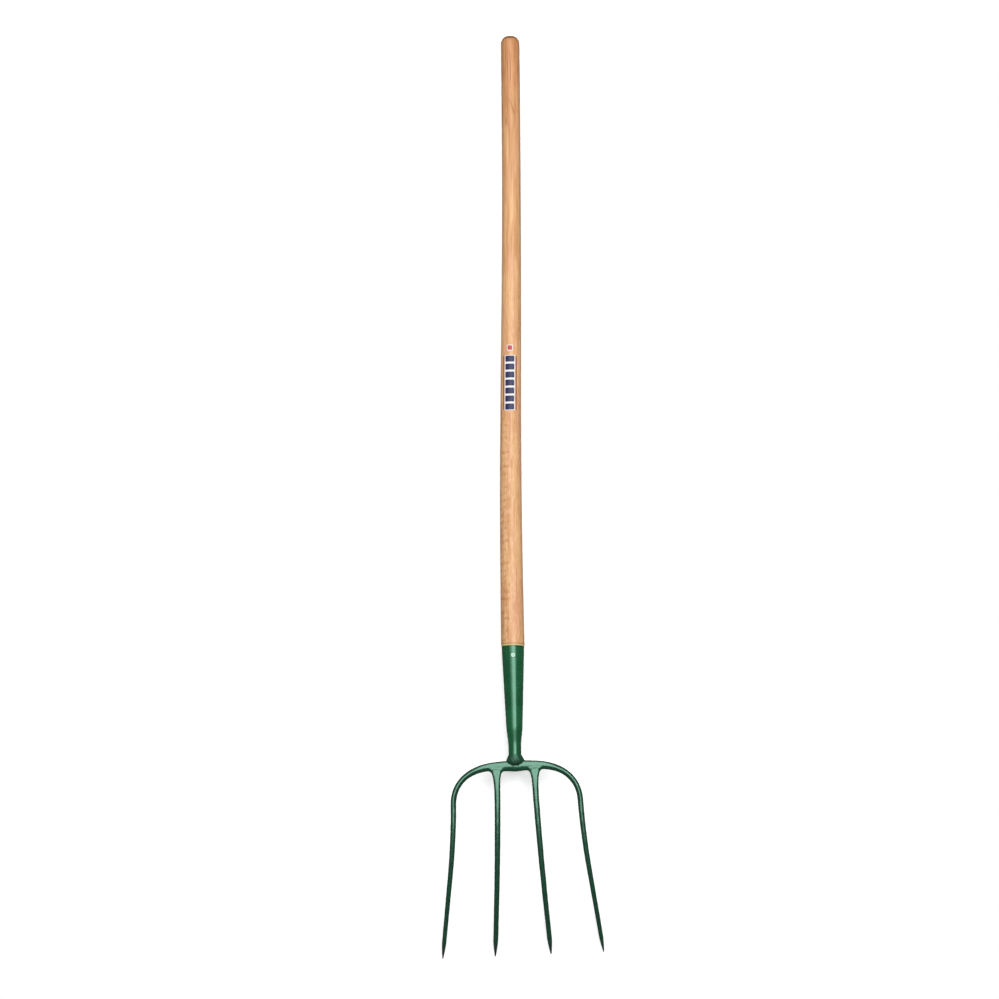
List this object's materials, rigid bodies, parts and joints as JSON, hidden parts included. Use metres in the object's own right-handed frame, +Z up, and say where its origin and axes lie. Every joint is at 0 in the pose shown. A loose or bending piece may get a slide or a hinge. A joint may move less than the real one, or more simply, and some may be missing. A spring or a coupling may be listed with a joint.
{
  "type": "long-handled garden fork",
  "caption": "Long-handled fork: straight tapered wooden handle riveted into a green tubular steel socket, welded to a forged crossbar with slender, curved, pointed tines.",
  "frame": {"origin": "on the handle's axis, half way along the parallel grip at its top end", "axes": "+Z up along the handle from the tines to the domed end, +X across the tines, -Y towards the convex back of the head"},
  "size_m": [0.273, 0.0718, 1.5902],
  "materials": {
    "beech_wood": "turned beech with a thin satin lacquer, straight grain along the handle with small flecks",
    "green_paint": "dark green enamel, semi-gloss, thinner and darker towards the points",
    "rivet_steel": "bare bright steel",
    "printed_label": "printed film, satin"
  },
  "bodies": {
    "root": {"handle": "beech_wood", "handle_label": "printed_label", "socket": "green_paint", "rivet": "rivet_steel", "neck_weld": "green_paint", "crossbar": "green_paint", "tine_outer_left": "green_paint", "tine_inner_left": "green_paint", "tine_inner_right": "green_paint", "tine_outer_right": "green_paint"}
  },
  "joints": []
}
